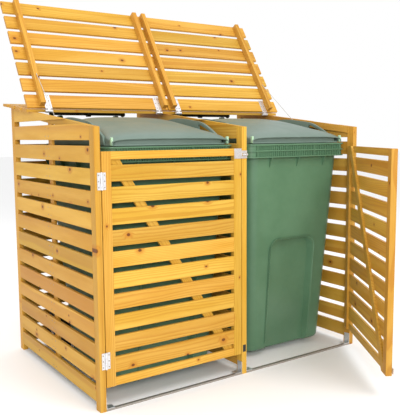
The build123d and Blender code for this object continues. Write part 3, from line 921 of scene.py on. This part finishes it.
def makeArm(x):
    # rises backwards from the rim to the handle bar, and ends in a blunt tip
    end = fittings["armEnd"]
    root, low, high = fittings["armRoot"]
    riseLow, riseHigh = fittings["armRise"]
    reach, blunt = fittings["armTip"]
    arm = addBlock(x, fittings["armHalf"], (root, low), (end, high))
    middle = (low + high) / 2
    shift(arm, lambda vertex: vertex.co.y > end - 0.001 and vertex.co.z > middle, (0, 0, riseHigh))
    shift(arm, lambda vertex: vertex.co.y > end - 0.001 and vertex.co.z < low + 0.001, (0, 0, riseLow))
    edit(arm, "polygons", lambda face: face.normal.y > 0.9, lambda: extrudeBy((0, reach, 0)))
    under = low + riseLow + 0.001
    shift(arm, lambda vertex: vertex.co.y > end + 0.001 and vertex.co.z < under, (0, 0, blunt))
    return arm


def makeTubFittings():
    pieces = []
    eyeRadius, eyeWidth = fittings["eye"]
    for way in (-1, 1):
        arm = makeArm(way * fittings["armX"])
        soften(arm, 0.003, 3)
        eyeX = way * fittings["eyeX"]
        eye = addRod((eyeX, *fittings["pin"]), eyeRadius, eyeWidth)
        soften(eye, 0.0015)
        stand = addBlock(eyeX, eyeWidth / 2, *fittings["stand"])
        soften(stand, 0.003, 3)
        bracket = addBlock(way * fittings["bracketX"], fittings["bracketHalf"], *fittings["bracket"])
        soften(bracket, 0.006, 3)
        pieces += [arm, eye, stand, bracket]
    return pieces


def makeTub():
    body = makeTubBody()
    carve(body, makeArch(tub["bead"], tub["beadOut"], 0.010, tub["beadFoot"]), "UNION")
    carve(body, makeArch(0.0, 0.020, tub["recessDepth"], tub["recessFoot"]))
    foot, top = tub["rimFoot"], tub["rimTop"]
    edit(
        body,
        "polygons",
        lambda face: face.normal.z > 0.9 and face.center.z > foot - 0.001,
        lambda: extrudeBy((0, 0, top - foot - 0.002)),
    )
    dropFaces(body, lambda face: face.normal.z > 0.9 and face.center.z > foot + 0.001)
    weld(body)
    soften(body, 0.0022, 3, 25)
    modify(body, "SOLIDIFY", thickness=tub["wall"], offset=-1)
    return join([body, *makeRim(), *makeGussets(), *makeTubFittings()], "tub_model")


def tubMiddle(side):
    # a bin's own middle in plan, at the front of its rim
    low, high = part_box("bin_tub_" + side)
    return Vector(((low[0] + high[0]) / 2, low[1], 0))


tubModel = makeTub()
smooth(tubModel, 30)
coat(tubModel, tubGreen)
for side in ("left", "right"):
    twin = copied(tubModel, "moulded_tub_" + side, Matrix.Translation(tubMiddle(side)))
    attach(twin, "store")
    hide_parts("bin_tub_" + side)
bpy.data.objects.remove(tubModel, do_unlink=True)
print("tubs modelled")


# bin lid: a dome drawn from front to back, with a rolled flank on each side

lid = {
    "foot": 0.974,
    "half": 0.268,
    "wideHalf": 0.266,
    "domeHalf": 0.236,
    "front": 0.012,
    "back": 0.690,
    "shell": 0.004,
    "profile": (
        (0.010, 1.001),
        (0.022, 1.010),
        (0.050, 1.023),
        (0.120, 1.043),
        (0.210, 1.063),
        (0.320, 1.083),
        (0.420, 1.0925),
        (0.500, 1.090),
        (0.580, 1.070),
        (0.640, 1.044),
        (0.690, 1.008),
    ),
    "narrowing": (0.03, 0.20),
    "fold": {"start": 0.10, "run": 0.30, "width": 0.035, "depth": 0.0022},
    "gripX": 0.263,
    "gripThickness": 0.010,
    "gripToe": 0.015,
    "grip": (
        (0.085, 1.011),
        (0.140, 1.041),
        (0.200, 1.066),
        (0.270, 1.077),
        (0.340, 1.085),
        (0.400, 1.089),
        (0.470, 1.082),
        (0.560, 1.048),
        (0.620, 1.006),
    ),
    "slot": {"centre": (0.180, 1.0325), "half": 0.036, "radius": 0.012, "slope": math.radians(21)},
    "flange": {"height": 0.006, "width": 0.030, "corner": 0.036, "setBack": 0.004},
    "band": {"inset": 0.012, "setBack": 0.014, "back": 0.16, "height": (0.003, 0.030), "corner": 0.030},
    "armX": 0.218,
    "armHalf": 0.012,
    "arm": ((0.672, 0.990), (0.722, 1.010)),
    "stopX": 0.263,
    "stopHalf": 0.004,
    "stop": ((0.0125, 0.976), (0.026, 1.006)),
}


def alongProfile(points, y):
    # smooth height between the points of the side view
    for i in range(len(points) - 1):
        if y <= points[i + 1][0] or i == len(points) - 2:
            break
    before = points[max(i - 1, 0)]
    here, after = points[i], points[i + 1]
    beyond = points[min(i + 2, len(points) - 1)]
    span = after[0] - here[0]
    t = min(max((y - here[0]) / span, 0), 1)
    slopeHere = (after[1] - before[1]) / (after[0] - before[0])
    slopeAfter = (beyond[1] - here[1]) / (beyond[0] - here[0])
    return (
        (2 * t**3 - 3 * t**2 + 1) * here[1]
        + (t**3 - 2 * t**2 + t) * span * slopeHere
        + (3 * t**2 - 2 * t**3) * after[1]
        + (t**3 - t**2) * span * slopeAfter
    )


def makeDome():
    bpy.ops.object.select_all(action="DESELECT")
    bpy.ops.mesh.primitive_grid_add(x_subdivisions=44, y_subdivisions=48, size=2)
    dome = bpy.context.object
    front, back = lid["profile"][0][0], lid["back"]
    base = lid["foot"] + lid["shell"]
    fold = lid["fold"]
    for vertex in dome.data.vertices:
        across, along = vertex.co.x, (vertex.co.y + 1) / 2
        y = front + (back - front) * along**1.15
        narrow = min(max((y - lid["narrowing"][0]) / lid["narrowing"][1], 0), 1)
        narrow = narrow * narrow * (3 - 2 * narrow)
        half = lid["wideHalf"] + (lid["domeHalf"] - lid["wideHalf"]) * narrow
        top = alongProfile(lid["profile"], y)
        angle = across * math.pi / 2
        x = half * math.copysign(abs(math.sin(angle)) ** 0.5, angle)
        z = base + (top - base) * abs(math.cos(angle)) ** 0.42
        # a faint fold runs from the middle of the left flank to the right front corner
        leftward = 0.5 - x / lid["wideHalf"] / 2
        fromFold = (y - fold["start"] - fold["run"] * leftward) / fold["width"]
        dip = fold["depth"] * math.exp(-(fromFold**2))
        vertex.co = (x, y, z - dip * abs(math.cos(angle)))
    modify(dome, "SOLIDIFY", thickness=lid["shell"], offset=-1)
    outward(dome)
    return dome


def makeGrip(way):
    # a long ear beside the dome, with a slanted slot for the fingers
    bpy.ops.object.select_all(action="DESELECT")
    bpy.ops.mesh.primitive_grid_add(x_subdivisions=1, y_subdivisions=56, size=2)
    ear = bpy.context.object
    front, back = lid["grip"][0][0], lid["grip"][-1][0]
    for vertex in ear.data.vertices:
        along = (vertex.co.y + 1) / 2
        y = front + (back - front) * along
        high = vertex.co.x > 0
        if not high:
            y += lid["gripToe"] * (2 * along - 1)
        top = alongProfile(lid["grip"], y) if high else lid["foot"] + 0.002
        vertex.co = (way * lid["gripX"], y, top)
    modify(ear, "SOLIDIFY", thickness=lid["gripThickness"], offset=0)
    outward(ear)
    slot = lid["slot"]
    along = Vector((0, math.cos(slot["slope"]), math.sin(slot["slope"])))
    middle = Vector((way * lid["gripX"], *slot["centre"]))
    for step in (-1, 1):
        carve(ear, addRod(middle + along * slot["half"] * step, slot["radius"], 0.05, sides=24))
    bar = addCube((-0.025, -slot["half"], -slot["radius"]), (0.025, slot["half"], slot["radius"]))
    bar.data.transform(Matrix.Translation(middle) @ Matrix.Rotation(slot["slope"], 4, "X"))
    carve(ear, bar)
    soften(ear, 0.0025, 2, 40)
    return ear


def makeLid():
    foot, half, back = lid["foot"], lid["half"], lid["back"]
    shape = lid["flange"]
    low = (-half, lid["front"] + shape["setBack"], foot)
    flange = ring(low, (half, back, foot + shape["height"]), shape["corner"], shape["width"])
    soften(flange, 0.0015, 2, 50)
    shape = lid["band"]
    half -= shape["inset"]
    start, end = shape["height"]
    low = (-half, lid["front"] + shape["setBack"], foot + start)
    band = ring(low, (half, shape["back"], foot + end), shape["corner"], lid["shell"])
    pieces = [makeDome(), flange, band]
    for way in (-1, 1):
        armX = way * lid["armX"]
        arm = addBlock(armX, lid["armHalf"], *lid["arm"])
        soften(arm, 0.003, 3)
        eye = addRod((armX, *fittings["pin"]), fittings["eye"][0], 2 * lid["armHalf"])
        soften(eye, 0.0015)
        pieces += [makeGrip(way), arm, eye]
    return join(pieces, "lid_model")


lidModel = makeLid()
smooth(lidModel, 40)
coat(lidModel, lidGreen)
for side in ("left", "right"):
    twin = copied(lidModel, "moulded_lid_" + side, Matrix.Translation(tubMiddle(side)))
    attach(twin, "bin_lid_" + side)
    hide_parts("bin_lid_" + side)
bpy.data.objects.remove(lidModel, do_unlink=True)

# end stops at the front corners of each lid, coloured pale green as a painted highlight on those corners
for side in ("left", "right"):
    centre, front, _ = tubMiddle(side)
    (nearY, lowZ), (farY, highZ) = lid["stop"]
    stops = []
    for way in (-1, 1):
        x = centre + way * lid["stopX"]
        stop = addBlock(x, lid["stopHalf"], (front + nearY, lowZ), (front + farY, highZ))
        soften(stop, 0.002, 3)
        stops.append(stop)
    piece = join(stops, "lid_end_stops_" + side)
    smooth(piece, 40)
    coat(piece, paintedHighlightGreen)
    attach(piece, "bin_lid_" + side)
print("lids modelled")


# wheels

wheel = {
    "radius": 0.100,
    "width": 0.048,
    "edge": 0.007,
    "tread": 0.003,
    "blocks": 36,
    "hub": 0.078,
    "hubInset": 0.008,
    "flange": 0.009,
    "dish": 0.010,
    "boss": 0.024,
    "bossRise": 0.018,
    "spokes": 6,
    "spokeX": 0.010,
    "spokeHalf": 0.005,
    "spoke": ((-0.006, 0.020), (0.006, 0.071)),
}


def sink(depth):
    bpy.ops.mesh.extrude_region_shrink_fatten(TRANSFORM_OT_shrink_fatten={"value": depth})


def makeTyre():
    bpy.ops.object.select_all(action="DESELECT")
    bpy.ops.mesh.primitive_cylinder_add(
        vertices=2 * wheel["blocks"],
        radius=wheel["radius"],
        depth=wheel["width"],
        end_fill_type="NOTHING",
        rotation=(0, math.pi / 2, 0),
    )
    tyre = bpy.context.object
    settle(tyre)
    inner = wheel["hub"] / wheel["radius"]
    for way in (-1, 1):
        edit(
            tyre,
            "edges",
            lambda edge: all(
                end.x * way > wheel["width"] / 2 - 0.0001 and end.yz.length > wheel["hub"] + 0.001
                for end in ends(tyre, edge)
            ),
            lambda: bpy.ops.mesh.extrude_edges_move(),
            lambda: bpy.ops.transform.resize(value=(1, inner, inner), center_override=(0, 0, 0)),
        )
    edit(
        tyre,
        "edges",
        lambda edge: all(
            abs(end.x) > wheel["width"] / 2 - 0.0001 and end.yz.length < wheel["hub"] + 0.0001
            for end in ends(tyre, edge)
        ),
        lambda: bpy.ops.mesh.bridge_edge_loops(),
    )
    outward(tyre)
    soften(tyre, wheel["edge"], 3, 60)
    # every second facet of the running face is sunk
    step = 180 / wheel["blocks"]
    edit(
        tyre,
        "polygons",
        lambda face: abs(face.normal.x) < 0.1
        and face.center.yz.length > wheel["radius"] - 0.001
        and int(math.degrees(math.atan2(face.center.z, face.center.y)) / step + 72) % 2 == 0,
        lambda: sink(-wheel["tread"]),
    )
    return tyre


def makeHub():
    # on both faces a narrow flange, a dish, and a boss that stands out of the dish
    hub = addRod((0, 0, 0), wheel["hub"], wheel["width"] - 2 * wheel["hubInset"], sides=48)
    across = wheel["hub"] - wheel["flange"] - wheel["boss"]
    for step in (
        lambda: bpy.ops.mesh.inset(thickness=wheel["flange"], use_individual=True),
        lambda: sink(-wheel["dish"]),
        lambda: bpy.ops.mesh.inset(thickness=across, use_individual=True),
        lambda: sink(wheel["bossRise"]),
    ):
        edit(hub, "polygons", lambda face: abs(face.normal.x) > 0.9 and len(face.vertices) > 8, step)
    soften(hub, 0.0015, 2, 40)
    pieces = [hub]
    for way in (-1, 1):
        spoke = addBlock(way * wheel["spokeX"], wheel["spokeHalf"], *wheel["spoke"])
        soften(spoke, 0.002, 2)
        for i in range(wheel["spokes"]):
            angle = i * 2 * math.pi / wheel["spokes"]
            pieces.append(copied(spoke, "spoke", Matrix.Rotation(angle, 4, "X")))
        bpy.data.objects.remove(spoke, do_unlink=True)
    return join(pieces, "hub_model")


tyreModel, hubModel = makeTyre(), makeHub()
for model, material, node, word, kind in (
    (tyreModel, rubber, "tyre", "tread", "tyre"),
    (hubModel, blackPlastic, "wheel_hub", "spoked_hub", "hub"),
):
    smooth(model, 30)
    coat(model, material)
    for side in ("left", "right"):
        for end in ("inner", "outer"):
            low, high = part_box(f"{node}_{side}_{end}")
            middle = (Vector(low) + Vector(high)) / 2
            twin = copied(model, f"{word}_{side}_{end}", Matrix.Translation(middle))
            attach(twin, f"wheel_{side}_{end}")
            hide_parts(f"{node}_{side}_{end}")
    bpy.data.objects.remove(model, do_unlink=True)
print("wheels modelled")


# screws and nails

fixing = {"screw": 0.0026, "nail": 0.0022, "proud": 0.0008}
doorLeaf = {
    "pinX": 0.6445,
    "fromPin": 0.0115,
    "face": -0.02125,
    "heights": (0.193, 0.852),
    "rises": (-0.022, 0.0, 0.022),
}
# heights and depths here are along the roof's slope and square to it
roof = {
    "edge": (0, -0.019, 1.045),
    "pin": 0.590,
    "boardTop": 0.0122,
    "pitch": 0.0852,
    "nailsUp": (0.016, 0.049),
    "lidStart": -0.002,
    "lidSlats": 7,
    "battenIn": 0.011,
    "rearStart": 0.606,
    "rearBoards": 4,
    "rearNailsX": (-0.664, 0.0, 0.664),
    "fixedLeaf": {"face": 0.0137, "in": (0.007, 0.023), "away": (0.024, 0.038)},
    "lidLeaf": {"face": -0.0017, "in": (0.008, 0.022), "away": (0.022, 0.048, 0.074)},
}
wall = {
    "face": 0.6702,
    "slats": 13,
    "start": 0.031,
    "pitch": 0.0805,
    "depths": (0.409, 0.440),
    "nailsUp": (0.015, 0.046),
}


def makeHead(radius):
    # domed head with a sunken middle, facing -Y
    head = addRod((0, 0, 0), radius, 2 * fixing["proud"], "Y", 10)
    edit(
        head,
        "polygons",
        lambda face: face.normal.y < -0.9,
        lambda: bpy.ops.mesh.inset(thickness=radius * 0.35),
        lambda: bpy.ops.transform.translate(value=(0, -fixing["proud"] * 0.4, 0)),
        lambda: bpy.ops.mesh.inset(thickness=radius * 0.3),
        lambda: bpy.ops.transform.translate(value=(0, fixing["proud"], 0)),
    )
    return head


def setHeads(name, radius, material, body, places):
    head = makeHead(radius)
    heads = [copied(head, "head", place) for place in places]
    bpy.data.objects.remove(head, do_unlink=True)
    piece = join(heads, name)
    coat(piece, material)
    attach(piece, body)


def fromBothEnds(low, high, steps):
    return [low + step for step in steps] + [high - step for step in reversed(steps)]


def about(pin, angle, axis):
    return Matrix.Translation(pin) @ Matrix.Rotation(angle, 4, axis) @ Matrix.Translation(-pin)


roofPlane = Matrix.Translation(roof["edge"]) @ Matrix.Rotation(turns["roofSlope"], 4, "X")
lidPlane = about(lidPin, -turns["lidOpen"], "X") @ roofPlane
doorTurn = about(doorPin, turns["rightDoor"], "Z")
lookUp = Matrix.Rotation(-math.pi / 2, 4, "X")
lookDown = Matrix.Rotation(math.pi / 2, 4, "X")
lookLeft = Matrix.Rotation(-math.pi / 2, 4, "Z")
lookRight = Matrix.Rotation(math.pi / 2, 4, "Z")

onStore = []
for side, way, turn in (("left", -1, Matrix.Identity(4)), ("right", 1, doorTurn)):
    onDoor = []
    for z in doorLeaf["heights"]:
        for rise in doorLeaf["rises"]:
            doorX = way * (doorLeaf["pinX"] - doorLeaf["fromPin"])
            postX = way * (doorLeaf["pinX"] + doorLeaf["fromPin"])
            onDoor.append(turn @ Matrix.Translation((doorX, doorLeaf["face"], z + rise)))
            onStore.append(Matrix.Translation((postX, doorLeaf["face"], z + rise)))
    setHeads("door_screws_" + side, fixing["screw"], dullSteel, "door_" + side, onDoor)
for side in ("left", "right"):
    low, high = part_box("roof_lid_hinge_leaves_" + side)
    leaf = roof["fixedLeaf"]
    for x in fromBothEnds(low[0], high[0], leaf["in"]):
        for away in leaf["away"]:
            place = Matrix.Translation((x, roof["pin"] + away, leaf["face"]))
            onStore.append(roofPlane @ place @ lookUp)
setHeads("store_screws", fixing["screw"], dullSteel, "store", onStore)
for side in ("left", "right"):
    low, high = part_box("roof_lid_hinge_leaves_" + side)
    leaf = roof["lidLeaf"]
    onLid = []
    for x in fromBothEnds(low[0], high[0], leaf["in"]):
        for away in leaf["away"]:
            place = Matrix.Translation((x, roof["pin"] - away, leaf["face"]))
            onLid.append(lidPlane @ place @ lookDown)
    setHeads("lid_screws_" + side, fixing["screw"], dullSteel, "roof_lid_" + side, onLid)
    low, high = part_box("roof_lid_battens_" + side)
    onSlats = []
    for i in range(roof["lidSlats"]):
        for x in (low[0] + roof["battenIn"], high[0] - roof["battenIn"]):
            for up in roof["nailsUp"]:
                y = roof["lidStart"] + i * roof["pitch"] + up
                onSlats.append(lidPlane @ Matrix.Translation((x, y, roof["boardTop"])) @ lookUp)
    setHeads("lid_nails_" + side, fixing["nail"], dullSteel, "roof_lid_" + side, onSlats)
onWalls = []
for x, look in ((-wall["face"], lookLeft), (wall["face"], lookRight)):
    for i in range(wall["slats"]):
        for y in wall["depths"]:
            for up in wall["nailsUp"]:
                z = wall["start"] + wall["pitch"] * i + up
                onWalls.append(Matrix.Translation((x, y, z)) @ look)
for i in range(roof["rearBoards"]):
    for x in roof["rearNailsX"]:
        for up in roof["nailsUp"]:
            y = roof["rearStart"] + i * roof["pitch"] + up
            onWalls.append(roofPlane @ Matrix.Translation((x, y, roof["boardTop"])) @ lookUp)
setHeads("store_nails", fixing["nail"], dullSteel, "store", onWalls)
print("screws and nails set")

# floor

ground = {"size": 60.0, "colour": (0.9, 0.9, 0.9), "roughness": 0.9}
bpy.ops.mesh.primitive_plane_add(size=ground["size"], location=(0, 0, 0))
floor = bpy.context.object
floor.name = "studio_floor"
floorPaint, _, floorSurface = startMaterial("pale_floor")
floorSurface.inputs["Base Color"].default_value = (*ground["colour"], 1)
floorSurface.inputs["Roughness"].default_value = ground["roughness"]
floor.data.materials.append(floorPaint)
print("floor laid")
